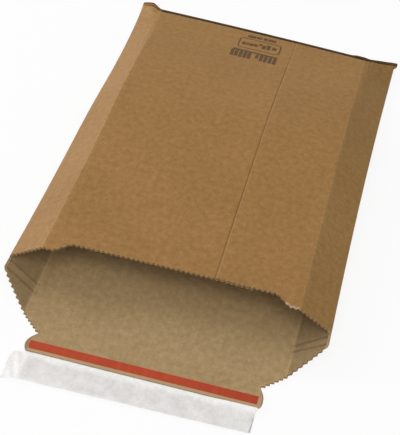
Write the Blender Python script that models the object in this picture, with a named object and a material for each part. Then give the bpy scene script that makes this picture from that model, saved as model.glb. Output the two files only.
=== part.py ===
"""Opened mailing envelope of thin corrugated board, lying on its seamless side.

Units are metres. +Z is up, +Y runs from the open mouth to the closed end, and
the origin is on the floor under the middle of the body.
The body is one folded and glued sheet, so it is one solid. It is built as a
tube of cross sections: each section is a closed ring of columns, and each
column has an outer and an inner point, one board thickness apart.
"""
import math

import bmesh
import bpy
import numpy as np

# The board and the flat sizes of the sheet
BOARD = 0.0015            # thickness of the corrugated board
LAP_STEP = 0.0009         # height of the glued lap's edge, where the board is pressed
BODY_LENGTH = 0.2994      # closed end to mouth edge
SPINE_LENGTH = 0.0087     # mouth edge to the second fold score, where the shoulders start
NECK_Y = 0.0450           # mouth edge to the notches
FLAP_DEPTH = 0.0150       # notches to the closure flap's edge
NECK_HALF = 0.0690        # half width between the notches
FLARE_LEFT = 0.0741       # the flap's rounded ends, from the middle
FLARE_RIGHT = 0.0725
END_FLAP = 0.0270         # depth of the glued closed end
SEAM_X = 0.0264           # the glued seam, right of the middle
LAP_WIDTH = 0.0240        # how far the sheet reaches under the seam
TOOTH_PITCH = 0.0032      # zigzag cut
TOOTH_DEPTH = 0.0013
RECESS_DEPTH = 0.0083     # how far the top panel's edge is cut back between its shoulders
RECESS_HALF = 0.0640      # half width of the straight part of that cut
RECESS_RAMP = 0.0125      # width of the slanted cut at each side of it

# The opened shape. Lines along the length are given as their distances from the middle
# at the mouth, halfway and at the closed end
CREASE_RIGHT = (0.0817, 0.0810, 0.0819)
CREASE_LEFT = (0.0820, 0.0797, 0.0843)
FOLD_RIGHT = (0.1027, 0.1020, 0.1043)
FOLD_LEFT = (0.1031, 0.0990, 0.1000)
CREASE_RISE = 0.0235      # rise of the top panel from the closed end to the mouth
RISE_SHARE = 0.52         # share of the length in which it rises
FOLD_SHARE = 0.45         # rise of the side folds at the mouth, as a share of the panel's
FOLD_SPREAD = 0.60        # share of the length in which they reach it
FLOOR_CREASE = 0.0825     # half width of the bottom panel
FOLD_RADIUS = 0.5 * BOARD  # inner radius of the side folds, half the end flap
END_TURN = 0.041          # the closed end isn't square: its slope at the middle
END_BOW = 0.13            # and its bend, both towards the right corner
EAR_RIGHT = 0.0032        # upward curl of the closed end's corners
EAR_LEFT = 0.0047
EAR_REACH = 0.0100
EAR_TAB = 0.0020          # how far the right corner stands out past the side fold
TAB_START = 0.0046        # where that begins, inside the side fold

# The closed end: gap behind the top layer's cut edge, then the sheet's fold
END_GAP = 0.0022
END_RIDGE = 0.0021

# Closure parts
STRIP_WIDTH = 0.0059
STRIP_EDGE = 0.0021       # flap's edge to the tear strip
STRIP_RIGHT = 0.0695      # the strip's right end, from the middle
STRIP_INSET = 0.0026      # how far its left end stays inside the flap's outline
STRIP_THICK = 0.00025
TAPE_THICK = 0.0004       # also the lift of the flap, which lies on the tape
TAPE_UNDER = 0.0090       # how far the tape reaches under the flap
TAPE_OUT = 0.0180         # how far it stands out past the flap's edge
TAPE_HALF = 0.0700
LINER_THICK = 0.0003
LINER_GAP = 0.0003        # between the liner and the flap's edge
LINER_PAST = 0.0022       # how far it stands out past the tape
LINER_TURN = 0.017        # slope of its long free edge, which isn't quite parallel
LINER_TAB = 0.0100        # loose end past the tape's left end
LINER_SLIP = 0.0022       # how far the loose end's tip hangs to the front
LINER_EXTRA = 0.0010      # overhang at the tape's right end
LINER_CURL = 0.0012       # rise of the loose end's tip

# Values worked out from the sizes above
CORNER = 0.0016           # radius of the flap's corners
FLARE_DEPTH = 0.0098      # how far past the notches the flap is widest
MOUTH_Y = -0.5 * BODY_LENGTH
FOLD_OUTER = BOARD + FOLD_RADIUS
FLAT_TOP = 2.0 * FOLD_OUTER
LAP_END_X = SEAM_X + LAP_WIDTH
CAVITY_END = BODY_LENGTH - END_FLAP
FLAP_LENGTH = NECK_Y + FLAP_DEPTH
RAMP_DEPTH = FLAP_DEPTH - max(TAPE_UNDER, STRIP_EDGE + STRIP_WIDTH) - 0.0008

# Distances between rows and columns of the mesh
FRINGE = RECESS_DEPTH + 0.0032  # from the mouth's outermost edge to the first whole row
STEP = 0.00008            # width of a step's slope
TUBE_STEPS = 14
# Rows of the closed end, from its fold inwards: y, lowest and highest share of height
END_INSIDE = BODY_LENGTH - END_RIDGE - END_GAP
END_ROWS = (
    (BODY_LENGTH, 0.20, 0.68),
    (BODY_LENGTH - 0.15 * END_RIDGE, 0.08, 0.82),
    (BODY_LENGTH - 0.45 * END_RIDGE, 0.0, 0.90),
    (BODY_LENGTH - 0.75 * END_RIDGE, 0.0, 0.88),
    (BODY_LENGTH - END_RIDGE, 0.0, 0.80),
    (BODY_LENGTH - END_RIDGE - STEP, 0.0, 0.55),
    (END_INSIDE, 0.0, 0.55),
    (END_INSIDE - STEP, 0.0, 1.0),
)


def spread(low, high, count):
    return [low + (high - low) * i / count for i in range(count + 1)]


# Rows of the tube from the closed end to the mouth, and of the flap from the notches out
TUBE_ROWS = spread(END_INSIDE, CAVITY_END, 4)[1:] + spread(CAVITY_END, FRINGE, TUBE_STEPS)[1:]
FLAP_ROWS = spread(0.0, RAMP_DEPTH, 3) + spread(RAMP_DEPTH, FLAP_DEPTH - CORNER, 4)[1:]
FLAP_ROWS += [FLAP_DEPTH - CORNER * (1.0 - math.sin(math.radians(a))) for a in (30, 55, 75, 90)]


def smooth(value, low, high):
    """0 below low, 1 above high, with a soft passage between."""
    s = min(max((value - low) / (high - low), 0.0), 1.0)
    return s * s * (3.0 - 2.0 * s)


def openness(y):
    """0 at the closed end, 1 at the mouth."""
    return 1.0 - y / BODY_LENGTH


def crease_height(y):
    rise = min(openness(y) / RISE_SHARE, 1.0)
    return FLAT_TOP + CREASE_RISE * 0.5 * (math.sin(0.5 * math.pi * rise) + smooth(rise, 0.0, 1.0))


def fold_height(y):
    share = FOLD_SHARE * smooth(openness(y), 0.0, FOLD_SPREAD)
    return FOLD_OUTER + share * (crease_height(y) - FLAT_TOP)


def bent_line(values, y):
    """Distance from the middle at y, on a parabola through three given ones."""
    mouth, halfway, end = values
    s = y / BODY_LENGTH
    ends = mouth * (1.0 - s) * (1.0 - 2.0 * s) + end * s * (2.0 * s - 1.0)
    return ends + 4.0 * halfway * s * (1.0 - s)


def crease_x(side, y):
    return bent_line(CREASE_RIGHT if side > 0 else CREASE_LEFT, y)


def fold_x(side, y):
    """The outermost x of a side fold, as a distance from the middle."""
    return bent_line(FOLD_RIGHT if side > 0 else FOLD_LEFT, y)


def recess(x):
    """How far the top panel's edge is cut back."""
    return RECESS_DEPTH * (1.0 - smooth(abs(x), RECESS_HALF, RECESS_HALF + RECESS_RAMP))


# Columns of the top panel and the floor, as shares of the half width
TOP_SHARES = (-0.92, -0.78, -0.60, -0.40, -0.18, 0.06, 0.20, 0.46, 0.78, 0.92)
FLOOR_SHARES = (1.0, 0.66, 0.33, 0.0, -0.33, -0.66, -1.0)
STRIP_SHARES = (0.35, 0.65)
FOLD_STEPS = 4
HARD_ANGLE = math.radians(50.0)


def top_columns(y):
    """x of the panel's columns. Close pairs are steps: the lap's edge, its hidden end."""
    steps = [SEAM_X, SEAM_X + STEP, LAP_END_X, LAP_END_X + STEP]
    free = []
    for share in TOP_SHARES:
        if min(abs(share * CREASE_RIGHT[0] - x) for x in steps) > 0.0040:
            free.append(share * crease_x(share, y))
    return sorted(free + steps)


def offset_polyline(points, normals_end, distance):
    """Points of a parallel line: mitred inside, with given normals at both ends."""
    points = np.array(points)
    along = points[1:] - points[:-1]
    along /= np.linalg.norm(along, axis=1)[:, None]
    side = np.stack([-along[:, 1], along[:, 0]], axis=1)
    result = [points[0] + distance * np.array(normals_end[0])]
    for i in range(1, len(points) - 1):
        a, b = side[i - 1], side[i]
        result.append(points[i] + distance * (a + b) / (1.0 + a @ b))
    result.append(points[-1] + distance * np.array(normals_end[1]))
    return np.array(result)


def tangent_angle(centre, point, radius, turn):
    """Angle of the radius at which a line from point touches the fold's circle."""
    d = np.array(point) - np.array(centre)
    return math.atan2(d[1], d[0]) + turn * math.acos(radius / np.hypot(*d))


def unit(angle):
    return np.array([math.cos(angle), math.sin(angle)])


def ring(y):
    """Outer and inner points (x, z) of the sheet at y, and the role of each column.

    The order is: right fold from its top, floor from right to left, left fold
    from below, top from left to right.
    """
    crease_z = crease_height(y)
    left_crease = np.array([-crease_x(-1.0, y), crease_z])
    right_crease = np.array([crease_x(1.0, y), crease_z])
    outer, inner = [], []

    def fold(side):
        centre = np.array([side * (fold_x(side, y) - FOLD_OUTER), fold_height(y)])
        crease = right_crease if side > 0 else left_crease
        high = tangent_angle(centre, crease, FOLD_OUTER, -side)
        low = tangent_angle(centre, (side * FLOOR_CREASE, 0.0), FOLD_OUTER, side)
        if side < 0 and low < 0.0:
            low += 2.0 * math.pi
        if side < 0 and high < 0.0:
            high += 2.0 * math.pi
        return centre, high, low

    right, right_high, right_low = fold(1.0)
    left, left_high, left_low = fold(-1.0)

    for i in range(FOLD_STEPS + 1):
        n = unit(right_high + (right_low - right_high) * i / FOLD_STEPS)
        outer.append(right + FOLD_OUTER * n)
        inner.append(right + FOLD_RADIUS * n)

    floor = [outer[-1], (FLOOR_CREASE, 0.0)]
    floor += [(share * NECK_HALF, 0.0) for share in FLOOR_SHARES]
    floor += [(-FLOOR_CREASE, 0.0), left + FOLD_OUTER * unit(left_low)]
    ends = (-unit(right_low), -unit(left_low))
    lifted = offset_polyline(floor, ends, -BOARD)
    outer += [np.array(p) for p in floor[1:-1]]
    inner += list(lifted[1:-1])

    for i in range(FOLD_STEPS + 1):
        n = unit(left_low + (left_high - left_low) * i / FOLD_STEPS)
        outer.append(left + FOLD_OUTER * n)
        inner.append(left + FOLD_RADIUS * n)

    top = [outer[-1]]
    top += [outer[-1] + (left_crease - outer[-1]) * share for share in STRIP_SHARES]
    top.append(left_crease)
    first = len(top)
    xs = top_columns(y)
    top += [np.array([x, crease_z]) for x in xs]
    top.append(right_crease)
    top += [right_crease + (outer[0] - right_crease) * share for share in STRIP_SHARES]
    top.append(outer[0])
    lowered = offset_polyline(top, (-unit(left_high), -unit(right_high)), -BOARD)
    for k, x in enumerate(xs):
        fade = smooth(x, SEAM_X, LAP_END_X)
        top[first + k][1] += LAP_STEP * smooth(x, SEAM_X, SEAM_X + STEP) * (1.0 - fade)
        hidden_end = 1.0 - smooth(x, LAP_END_X, LAP_END_X + STEP)
        lowered[first + k][1] -= LAP_STEP * hidden_end * fade
    outer += top[1:-1]
    inner += list(lowered[1:-1])
    return np.array(outer), np.array(inner)


FOLD_COUNT = FOLD_STEPS + 1
FLOOR_FIRST = FOLD_COUNT
LEFT_FOLD = FLOOR_FIRST + len(FLOOR_SHARES) + 2
LEFT_CREASE = LEFT_FOLD + FOLD_COUNT + len(STRIP_SHARES)
RIGHT_CREASE = LEFT_CREASE + len(top_columns(0.0)) + 1
COLUMNS = RIGHT_CREASE + len(STRIP_SHARES) + 1
CREASES = (FLOOR_FIRST, LEFT_FOLD - 1, LEFT_CREASE, RIGHT_CREASE)


def ear(x, y):
    """Upward curl of the closed end's corners."""
    side = 1.0 if x > 0 else -1.0
    crease = crease_x(side, y)
    reach = max((abs(x) - crease) / (fold_x(side, y) - crease), 0.0)
    if side > 0:
        rise = EAR_RIGHT * reach ** 1.2
    else:
        rise = EAR_LEFT * (smooth(reach, 0.0, 0.5) - 0.28 * smooth(reach, 0.5, 1.0))
    return rise * math.exp((y - BODY_LENGTH) / EAR_REACH)


def place(point, y, lift=0.0):
    x, z = point
    shift = x * (END_TURN + END_BOW * x) * max(y, 0.0) / BODY_LENGTH
    return (x, MOUTH_Y + y - shift, z + ear(x, y) + lift)


def zigzag(start, end):
    """Toothed cut between two points of the flat sheet, given as (along, y)."""
    start, end = np.array(start), np.array(end)
    length = np.linalg.norm(end - start)
    count = max(int(round(length / TOOTH_PITCH)), 1)
    along = (end - start) / length
    across = np.array([-along[1], along[0]])
    points = [start]
    for i in range(2 * count):
        swing = 0.5 * TOOTH_DEPTH * (1 if i % 2 else -1)
        points.append(start + (end - start) * (i + 0.5) / (2 * count) + across * swing)
    points.append(end)
    return np.array(points)


def flare(side, depth):
    """The flap's rounded end, from the middle, at a depth past the notches."""
    widest = FLARE_RIGHT if side > 0 else FLARE_LEFT
    swell = math.sin(0.5 * math.pi * depth / FLARE_DEPTH)
    past = max(depth - (FLAP_DEPTH - CORNER), 0.0)
    cut = CORNER - math.sqrt(max(CORNER ** 2 - past ** 2, 0.0))
    return NECK_HALF + (widest - NECK_HALF) * swell - cut


def flap_lift(y):
    """The flap lies on the closure tape."""
    return TAPE_THICK * smooth(-y, NECK_Y, NECK_Y + RAMP_DEPTH)


def cut_path(columns, start_y, end_y, back=lambda x: 0.0):
    """A toothed cut across columns, cut back by back(x): points (first, next, share, y)."""
    outer, _ = ring(0.0)
    steps = [0.0]
    for a, b in zip(columns[:-1], columns[1:]):
        steps.append(steps[-1] + np.linalg.norm(outer[b] - outer[a]))
    steps = np.array(steps)
    teeth = zigzag((0.0, start_y), (steps[-1], end_y))
    alongs = sorted(set(list(teeth[:, 0]) + list(steps)))
    path = []
    for s in alongs:
        y = float(np.interp(s, teeth[:, 0], teeth[:, 1]))
        cell = min(int(np.searchsorted(steps, s, side="right")) - 1, len(columns) - 2)
        share = (s - steps[cell]) / (steps[cell + 1] - steps[cell])
        on_column = min(share, 1.0 - share) * (steps[cell + 1] - steps[cell]) < 1e-9
        if not on_column and min(abs(steps - s)) < 2e-4:
            continue
        a, b = columns[cell], columns[cell + 1]
        y += back(outer[a][0] + (outer[b][0] - outer[a][0]) * share)
        path.append((a, b, float(share), y))
    return path


def build_body():
    """One closed mesh of the whole sheet."""
    bm = bmesh.new()

    def ring_verts(y, low=0.0, high=1.0, both=True):
        """One row of outer and inner points. The closed end's rows are pressed flat."""
        outer, inner = ring(y)
        tab = EAR_TAB * smooth(y, BODY_LENGTH - 0.0038, BODY_LENGTH - 0.0026)
        row = []
        for x, z in outer:
            if low > 0.0 or high < 1.0:
                z = min(max(z, low * FLAT_TOP), high * FLAT_TOP)
            x += tab * smooth(x, FOLD_RIGHT[2] - TAB_START, FOLD_RIGHT[2])
            row.append(bm.verts.new(place((x, z), y)))
        return row, [bm.verts.new(place(p, y)) for p in inner] if both else None

    def skin(rows, flip):
        for a, b in zip(rows[:-1], rows[1:]):
            for k in range(COLUMNS):
                n = (k + 1) % COLUMNS
                loop = (a[k], a[n], b[n], b[k])
                bm.faces.new(loop[::-1] if flip else loop)

    # The closed end: the fold, the gap and the top layer's cut edge, then the tube
    outer_rows = []
    for y, low, high in END_ROWS:
        outer_rows.append(ring_verts(y, low, high, both=False)[0])
    inner_rows = []
    for y in TUBE_ROWS:
        outer, inner = ring_verts(y, both=y < CAVITY_END + 1e-6)
        outer_rows.append(outer)
        if inner:
            inner_rows.append(inner)
    skin(outer_rows, True)
    skin(inner_rows, False)
    bm.faces.new(outer_rows[0])
    bm.faces.new(inner_rows[0][::-1])

    # The front cuts, as points (column, next column, share, y) in ring order
    right_mid = FOLD_STEPS // 2
    left_mid = LEFT_FOLD + FOLD_STEPS // 2
    mouth = list(range(left_mid, COLUMNS)) + list(range(right_mid + 1))
    right = list(range(right_mid, FLOOR_FIRST + 2))
    left = list(range(LEFT_FOLD - 2, left_mid + 1))
    cuts = (
        cut_path(mouth, 0.0, 0.0, recess),
        cut_path(right, -SPINE_LENGTH, -NECK_Y),
        cut_path(left, -NECK_Y, -SPINE_LENGTH),
    )

    def cut_vert(point, layer):
        a, b, share, y = point
        pts = ring(y)[layer]
        return bm.verts.new(place(pts[a] + (pts[b] - pts[a]) * share, y, flap_lift(y)))

    edges = []
    for layer, row in ((0, outer_rows[-1]), (1, inner_rows[-1])):
        verts = [[cut_vert(p, layer) for p in path] for path in cuts]
        for path, line in zip(cuts, verts):
            fill_cut(bm, row, path, line, layer, verts)
        notch_right, notch_left = verts[1][-1], verts[2][0]
        edges.append(flap(bm, row, notch_right, notch_left, layer, verts))
    walls(bm, *edges)
    for rows in (outer_rows, inner_rows):
        for a, b in zip(rows[:-1], rows[1:]):
            for k in CREASES:
                bm.edges.get((a[k], b[k])).smooth = False
    return finish("envelope_body", bm)


def finish(name, bm):
    """Turn the mesh's normals outwards, keep its hard edges and shade the rest smooth."""
    bmesh.ops.recalc_face_normals(bm, faces=bm.faces)
    for edge in bm.edges:
        if edge.calc_face_angle() > HARD_ANGLE:
            edge.smooth = False
    for face in bm.faces:
        face.smooth = True
    mesh = bpy.data.meshes.new(name)
    bm.to_mesh(mesh)
    bm.free()
    return mesh


def add_face(bm, verts, layer):
    bm.faces.new(verts if layer else verts[::-1])


def fill_cut(bm, row, path, line, layer, verts):
    """The faces between the last row and a toothed cut, one for each cell."""
    columns = []
    for a, b, share, _ in path:
        if not columns or columns[-1] != (a, b):
            columns.append((a, b))
    for a, b in columns:
        inside = [i for i, p in enumerate(path) if (p[0], p[1]) == (a, b)]
        cell = [line[i] for i in range(inside[0], inside[-1] + 1)]
        if inside[-1] + 1 < len(path) and path[inside[-1]][2] < 1.0 - 1e-9:
            cell.append(line[inside[-1] + 1])
        loop = [row[a]]
        if a == FOLD_STEPS // 2 and line is verts[1]:
            loop.append(verts[0][-1])
        loop += cell
        if b == LEFT_FOLD + FOLD_STEPS // 2 and line is verts[2]:
            loop.append(verts[0][0])
        loop.append(row[b])
        add_face(bm, loop, layer)


def flap(bm, row, notch_right, notch_left, layer, verts):
    """The floor panel's front and the closure flap. Returns the sheet's whole edge."""
    first = FLOOR_FIRST + 1
    last_row = [row[first + i] for i in range(len(FLOOR_SHARES))]
    rights, lefts = [], []
    for depth in FLAP_ROWS:
        y = -NECK_Y - depth
        z = flap_lift(y) + (BOARD if layer else 0.0)
        new = []
        for i, share in enumerate(FLOOR_SHARES):
            if depth == 0.0 and i == 0:
                new.append(notch_right)
            elif depth == 0.0 and i == len(FLOOR_SHARES) - 1:
                new.append(notch_left)
            else:
                new.append(bm.verts.new((share * flare(share, depth), MOUTH_Y + y, z)))
        for i in range(len(new) - 1):
            add_face(bm, [last_row[i], new[i], new[i + 1], last_row[i + 1]], layer)
        if depth > 0.0:
            rights.append(new[0])
            lefts.append(new[-1])
        last_row = new
    return verts[0] + verts[1] + rights + last_row[1:-1] + lefts[::-1] + verts[2]


def walls(bm, outer, inner):
    """The cut edge of the board, all the way round."""
    for i in range(len(outer)):
        n = (i + 1) % len(outer)
        bm.faces.new((outer[i], outer[n], inner[n], inner[i]))


def slab(name, outline, thickness, height_at):
    """A thin sheet over a grid of points, following a height."""
    bm = bmesh.new()
    low = [[bm.verts.new((x, y, height_at(x, y))) for x, y in line] for line in outline]
    high = [[bm.verts.new((x, y, height_at(x, y) + thickness)) for x, y in line]
            for line in outline]
    last, width = len(outline) - 1, len(outline[0]) - 1
    for i in range(last):
        for j in range(width):
            bm.faces.new((low[i][j], low[i][j + 1], low[i + 1][j + 1], low[i + 1][j]))
            bm.faces.new((high[i][j], high[i + 1][j], high[i + 1][j + 1], high[i][j + 1]))
    rim = [(0, j) for j in range(width)]
    rim += [(i, width) for i in range(last)]
    rim += [(last, j) for j in range(width, 0, -1)]
    rim += [(i, 0) for i in range(last, 0, -1)]
    for k, (i, j) in enumerate(rim):
        m, n = rim[(k + 1) % len(rim)]
        bm.faces.new((low[i][j], low[m][n], high[m][n], high[i][j]))
    return finish(name, bm)


def grid(x_values, y_values):
    return [[(x, MOUTH_Y + y) for x in x_values] for y in y_values]


def material(name, colour, roughness):
    mat = bpy.data.materials.new(name)
    mat.use_nodes = True
    shader = mat.node_tree.nodes["Principled BSDF"]
    shader.inputs["Base Color"].default_value = (*colour, 1.0)
    shader.inputs["Roughness"].default_value = roughness
    return mat


def add_object(mesh, mat):
    obj = bpy.data.objects.new(mesh.name, mesh)
    bpy.context.scene.collection.objects.link(obj)
    obj.data.materials.append(mat)


def tape_height(x, y):
    return 0.0


def liner_height(x, y):
    """The liner lies on the tape. Its loose end hangs past the tape, and its tip curls up."""
    past = max(-x - TAPE_HALF, 0.0)
    hang = smooth(past, 0.0, 0.45 * LINER_TAB)
    curl = smooth(past, 0.45 * LINER_TAB, LINER_TAB)
    return TAPE_THICK * (1.0 - hang) + LINER_CURL * curl


def liner_y(x, share):
    """y across the liner, from the flap's edge (share 0) to its free edge (share 1)."""
    past = max(-x - TAPE_HALF, 0.0)
    near = -FLAP_LENGTH - LINER_GAP
    far = -FLAP_LENGTH - TAPE_OUT - LINER_PAST + LINER_TURN * x
    return MOUTH_Y + near + (far - near) * share - LINER_SLIP * smooth(past, 0.0, LINER_TAB)


def strip_height(x, y):
    return BOARD + flap_lift(y - MOUTH_Y)


def main():
    for obj in list(bpy.data.objects):
        bpy.data.objects.remove(obj, do_unlink=True)

    kraft = material("kraft_board", (0.29, 0.17, 0.075), 0.85)
    red = material("red_film", (0.48, 0.055, 0.02), 0.45)
    film = material("adhesive_film", (0.72, 0.71, 0.69), 0.4)
    paper = material("white_paper", (0.80, 0.80, 0.80), 0.6)

    add_object(build_body(), kraft)

    strip = []
    strip_far = FLAP_LENGTH - STRIP_EDGE
    for y in spread(strip_far - STRIP_WIDTH, strip_far, 4):
        left_end = STRIP_INSET - flare(-1.0, y - NECK_Y)
        strip.append([(x, MOUTH_Y - y) for x in spread(left_end, STRIP_RIGHT, 10)])
    add_object(slab("tear_strip", strip, STRIP_THICK, strip_height), red)

    tape_ys = (TAPE_UNDER - FLAP_LENGTH, -FLAP_LENGTH, -FLAP_LENGTH - TAPE_OUT)
    tape = grid(spread(-TAPE_HALF, TAPE_HALF, 8), tape_ys)
    add_object(slab("closure_tape", tape, TAPE_THICK, tape_height), film)

    tab = spread(-TAPE_HALF - LINER_TAB, -TAPE_HALF, 6)
    rest = spread(-TAPE_HALF, TAPE_HALF + LINER_EXTRA, 8)[1:]
    liner = []
    for share in spread(0.0, 1.0, 2):
        liner.append([(x, liner_y(x, share)) for x in tab + rest])
    add_object(slab("release_liner", liner, LINER_THICK, liner_height), paper)


main()
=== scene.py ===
"""Looks of an opened cardboard mailing envelope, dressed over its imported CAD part.

Units are metres. +Z is up and +Y runs from the open mouth to the closed end.
The body is rebuilt as one fine folded sheet from the same cross sections as the CAD
solid, with its toothed cuts, creases and glued seam. In its functions y counts from the
tube's front edge. Two coordinates follow the flat sheet and carry the paper's grain:
s runs across it, with 0 in the middle of the floor, and y along it.
"""
import math
from functools import lru_cache

import bpy
import numpy as np
from mathutils import Matrix, Vector


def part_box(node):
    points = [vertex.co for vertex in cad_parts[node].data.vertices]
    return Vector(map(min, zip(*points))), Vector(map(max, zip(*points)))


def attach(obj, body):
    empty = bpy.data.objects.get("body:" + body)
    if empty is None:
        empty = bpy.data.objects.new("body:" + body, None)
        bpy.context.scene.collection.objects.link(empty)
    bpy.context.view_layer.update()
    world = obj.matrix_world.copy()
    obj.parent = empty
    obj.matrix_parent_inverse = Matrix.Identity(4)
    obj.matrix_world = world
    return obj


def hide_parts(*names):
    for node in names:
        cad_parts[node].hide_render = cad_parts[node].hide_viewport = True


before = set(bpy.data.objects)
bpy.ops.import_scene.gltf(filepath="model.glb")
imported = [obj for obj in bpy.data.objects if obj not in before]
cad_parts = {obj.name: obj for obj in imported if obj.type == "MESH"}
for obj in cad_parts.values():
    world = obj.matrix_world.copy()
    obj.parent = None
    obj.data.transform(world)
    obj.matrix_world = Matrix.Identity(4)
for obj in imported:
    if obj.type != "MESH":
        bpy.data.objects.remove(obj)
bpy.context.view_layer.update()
BODY_LOW, BODY_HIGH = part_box("envelope_body")
TAPE_LOW, TAPE_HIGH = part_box("closure_tape")
LINER_LOW, LINER_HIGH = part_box("release_liner")

# Sizes of the sheet, as in the CAD source. The three lengths start at the tube's front edge
BOARD = 0.0015         # thickness
FLAP_LENGTH = 0.0600   # to the closure flap's edge
NECK_Y = 0.0450        # to the notches, where the flap begins
SPINE_LENGTH = 0.0087  # to the ends of the side folds
NECK_HALF = 0.0690     # half of the flap's width at the notches
FLARE_LEFT = 0.0741    # the same where it is widest, at each side
FLARE_RIGHT = 0.0725
FLARE_DEPTH = 0.0098   # how far past the notches that is
CORNER = 0.0016        # radius of the flap's corners
END_FLAP = 0.0270      # board that is folded over and glued at the closed end
SEAM_X = 0.0264        # visible edge of the glued lap
LAP_STEP = 0.0009      # its rise above the panel under it
LAP_WIDTH = 0.0240
TOOTH_PITCH = 0.0032
TOOTH_DEPTH = 0.0013
RECESS_DEPTH = 0.0083  # how far the mouth's top edge is cut back between its shoulders
RECESS_HALF = 0.0640
RECESS_RAMP = 0.0125   # width of a shoulder

# Distances from the middle, at the front edge, halfway and at the closed end
CREASE_RIGHT = (0.0817, 0.0810, 0.0819)
CREASE_LEFT = (0.0820, 0.0797, 0.0843)
FOLD_RIGHT = (0.1027, 0.1020, 0.1043)
FOLD_LEFT = (0.1031, 0.0990, 0.1000)
FLOOR_CREASE = 0.0825  # this one is the same all along

# The tube's rise from its closed end to its mouth
CREASE_RISE = 0.0235
RISE_SHARE = 0.52     # share of the length over which the panel rises
FOLD_SHARE = 0.45     # the side folds' share of its rise
FOLD_SPREAD = 0.60    # share of the length over which they rise
FOLD_OUTER = 0.00225  # outer radius of the side folds
PINCH = 0.0006        # how much tighter they are pressed at the closed end
PINCH_SPREAD = 0.5    # share of the length over which that fades

# The closed end
END_TURN = 0.041    # slant, and bow for each metre from the middle
END_BOW = 0.13
END_RIDGE = 0.0021  # width of the folded ridge, and of the gap behind it
END_GAP = 0.0022
EAR_RIGHT = 0.0032  # how far the corners curl up
EAR_LEFT = 0.0047
EAR_REACH = 0.0100  # length over which that fades
EAR_POWER = 1.2     # the right corner's curl grows with this power
EAR_DROOP = 0.28    # share of its curl by which the left corner's tip sinks again
EAR_TAB = 0.0020    # how far the right corner stands out past the side
TAB_START = 0.0046  # how far inside the fold that begins
TAB_ROWS = (0.0038, 0.0026)  # where it begins and is full, from the closed end
KINK_X = 0.0775     # a small kink in the ridge, near its right corner
KINK_HALF = 0.0080
KINK_RISE = 0.0009

# The closure tape and its liner
RAMP_DEPTH = 0.0052  # length over which the flap climbs onto the tape
LINER_PAST = 0.0022  # how far the liner stands out past the tape
LINER_TURN = 0.017   # slant of its free edge
LINER_SLIP = 0.0022  # how far its loose end slips outwards
LINER_THICK = 0.0003

# Values worked out from the sizes and the frame
MOUTH_Y = BODY_LOW.y + FLAP_LENGTH
BODY_LENGTH = -2.0 * MOUTH_Y
FLAP_DEPTH = FLAP_LENGTH - NECK_Y
FLAT_TOP = 2.0 * FOLD_OUTER
LAP_END_X = SEAM_X + LAP_WIDTH
END_INSIDE = BODY_LENGTH - END_RIDGE - END_GAP
CAVITY_END = BODY_LENGTH - END_FLAP
PANEL_WIDTH = CREASE_LEFT[0] + CREASE_RIGHT[0]
TEAR_STRIP_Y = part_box("tear_strip")[1].y
TAPE_THICK = TAPE_HIGH.z - TAPE_LOW.z
TAPE_HALF = TAPE_HIGH.x
TAPE_FAR = TAPE_LOW.y
LINER_CURL = LINER_HIGH.z - LINER_THICK
LINER_TAB = -LINER_LOW.x - TAPE_HALF
LINER_NEAR = LINER_HIGH.y

# Fineness of the sheet's mesh
CUT_COLUMN = 0.5 * TOOTH_PITCH * math.sqrt(0.5)
PANEL_COLUMNS = 2 * int(round(PANEL_WIDTH / TOOTH_PITCH))
FLOOR_COLUMNS = 30
SHOULDER_COLUMNS = 12  # from a notch to the floor's crease
STRIP_COLUMNS = 16     # on each side strip, above and below its fold
FOLD_STEPS = 9         # on half of a side fold
ROW_PITCH = 0.0026
END_FLAP_ROWS = 10
FRINGE = 0.0240        # length behind the mouth whose rows bend to its edge
FRINGE_ROWS = 12
FRONT_ROWS = 24
FLAP_ROWS = 11
CORNER_ANGLES = (15, 30, 45, 58, 70, 80, 90)
SHARP_ANGLE = math.radians(24.0)
STEP = 0.00008         # width of a sheer step, such as the lap's cut edge
TINY = 1e-6
SAME_ROW = 5           # decimals to which rows with one y share a cross section

# The ridge's rounded front, in degrees, with heights as shares of the flat end's
RIDGE_ANGLES = (8, 25, 45, 65, 90)
RIDGE_NOSE = 0.44
RIDGE_UPPER = 0.46  # from the nose to the ridge's top
RIDGE_BACK = ((0.8, 0.88), (1.0, 0.80))  # share of its width, and height there
GAP_HEIGHT = 0.55

# Rows of the closed end that are painted dark as shade: at its corners, at the kink and elsewhere
DARK_LEFT = range(2, 5)
DARK_RIGHT = range(2, 7)
DARK_KINK = range(4, 9)
DARK_RIDGE = range(2, 9)

OUTSIDE, INSIDE, CUT, RIDGE_SHADE = 0, 1, 2, 3  # material slots of the sheet

# Wear on the cut edges: torn on the right shoulder, light elsewhere
TORN_SPAN = (0.6 * RECESS_RAMP, 1.4 * RECESS_RAMP)
WEAR_TORN = 1.0
WEAR_LIGHT = 0.25


# Cross sections of the folded sheet

def smooth(value, low, high):
    """0 at low, 1 at high, with a smooth run between."""
    s = np.clip((value - low) / (high - low), 0.0, 1.0)
    return s * s * (3.0 - 2.0 * s)


def openness(y):
    """1 at the front edge, 0 at the closed end."""
    return 1.0 - y / BODY_LENGTH


def crease_height(y):
    rise = min(openness(y) / RISE_SHARE, 1.0)
    return FLAT_TOP + CREASE_RISE * 0.5 * (math.sin(0.5 * math.pi * rise) + smooth(rise, 0.0, 1.0))


def bent_line(values, y):
    """Distance from the middle at y, on a parabola through three given ones."""
    mouth, halfway, end = values
    s = y / BODY_LENGTH
    ends = mouth * (1.0 - s) * (1.0 - 2.0 * s) + end * s * (2.0 * s - 1.0)
    return ends + 4.0 * halfway * s * (1.0 - s)


def crease_x(side, y):
    return bent_line(CREASE_RIGHT if side > 0 else CREASE_LEFT, y)


def fold_x(side, y):
    return bent_line(FOLD_RIGHT if side > 0 else FOLD_LEFT, y)


def fold_radius(y):
    return FOLD_OUTER - PINCH * (1.0 - smooth(openness(y), 0.0, PINCH_SPREAD))


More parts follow.
